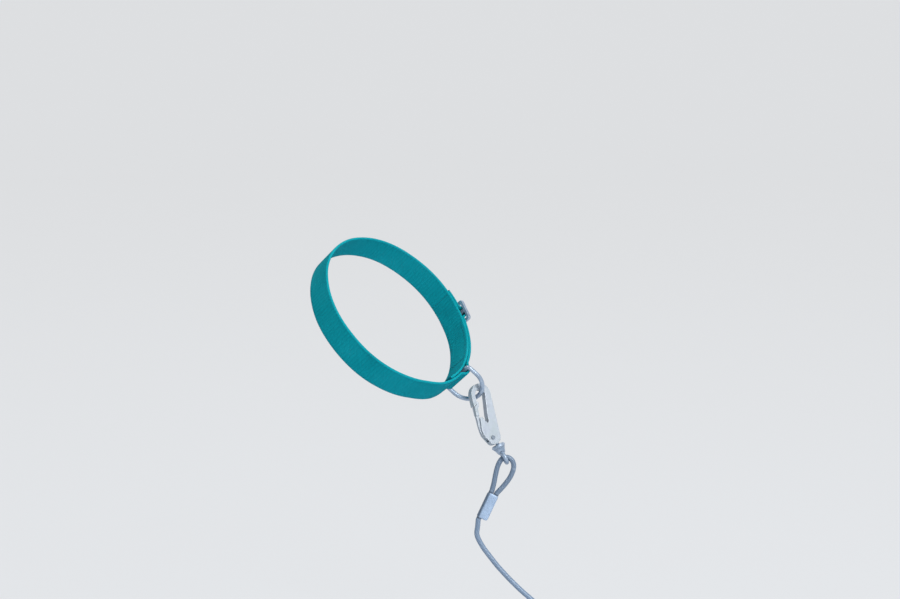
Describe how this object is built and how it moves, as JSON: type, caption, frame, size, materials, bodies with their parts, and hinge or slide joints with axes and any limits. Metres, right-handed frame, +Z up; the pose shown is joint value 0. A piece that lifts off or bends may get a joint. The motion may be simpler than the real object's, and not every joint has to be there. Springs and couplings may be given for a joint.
{
  "type": "sled dog collar with swivel snap and wire rope neck line",
  "caption": "Webbing dog collar with a D ring, a slide adjuster and a swivel snap that carries a short coated wire rope line with a pressed eye at each end.",
  "frame": {"origin": "centre of the neck opening", "axes": "+Z up; the collar is worn, so its opening's axis leans from the vertical, and the snap and line hang down from the D ring at the throat"},
  "size_m": [0.2603, 0.1472, 0.3668],
  "materials": {
    "webbing": "woven teal webbing, frosted and worn",
    "nickel": "nickel plated steel, dull",
    "zinc": "cast zinc alloy, dull and scuffed",
    "pressed_aluminium": "pressed aluminium, dull",
    "coated_rope": "galvanised wire rope in a clear coat"
  },
  "bodies": {
    "collar": {"collar_band": "webbing", "adjuster_slide": "nickel"},
    "ring": {"d_ring": "nickel"},
    "snap": {"snap_body": "zinc", "gate_rivet": "nickel"},
    "gate": {"snap_gate": "zinc"},
    "swivel": {"swivel_eye": "nickel"},
    "line": {"rope_eye": "coated_rope", "ferrule": "pressed_aluminium", "line_rope": "coated_rope", "far_ferrule": "pressed_aluminium", "far_eye": "coated_rope"}
  },
  "joints": [
    {"name": "ring_hinge", "type": "hinge", "parent": "collar", "child": "ring", "pos_m": [0.05777, 0.00011, -0.053], "axis": [0.6027, -0.4542, 0.6561], "range_deg": [-30, 30]},
    {"name": "snap_hinge", "type": "hinge", "parent": "ring", "child": "snap", "pos_m": [0.07634, 0.00015, -0.07003], "axis": [0.6027, -0.4542, 0.6561], "range_deg": [-30, 20]},
    {"name": "gate_hinge", "type": "hinge", "parent": "snap", "child": "gate", "pos_m": [0.08741, -0.01162, -0.10563], "axis": [-0.4167, 0.8165, -0.3996], "range_deg": [0, 10], "stiffness_Nm_per_rad": 0.05, "springref_deg": -11.46},
    {"name": "swivel_spin", "type": "hinge", "parent": "snap", "child": "swivel", "pos_m": [0.0923, -0.01141, -0.11029], "axis": [-0.459, 0.1904, 0.8678], "continuous": true},
    {"name": "line_hinge", "type": "hinge", "parent": "swivel", "child": "line", "pos_m": [0.1009, -0.01498, -0.12656], "axis": [0, 0.9848, -0.1736], "range_deg": [-40, 40]}
  ]
}
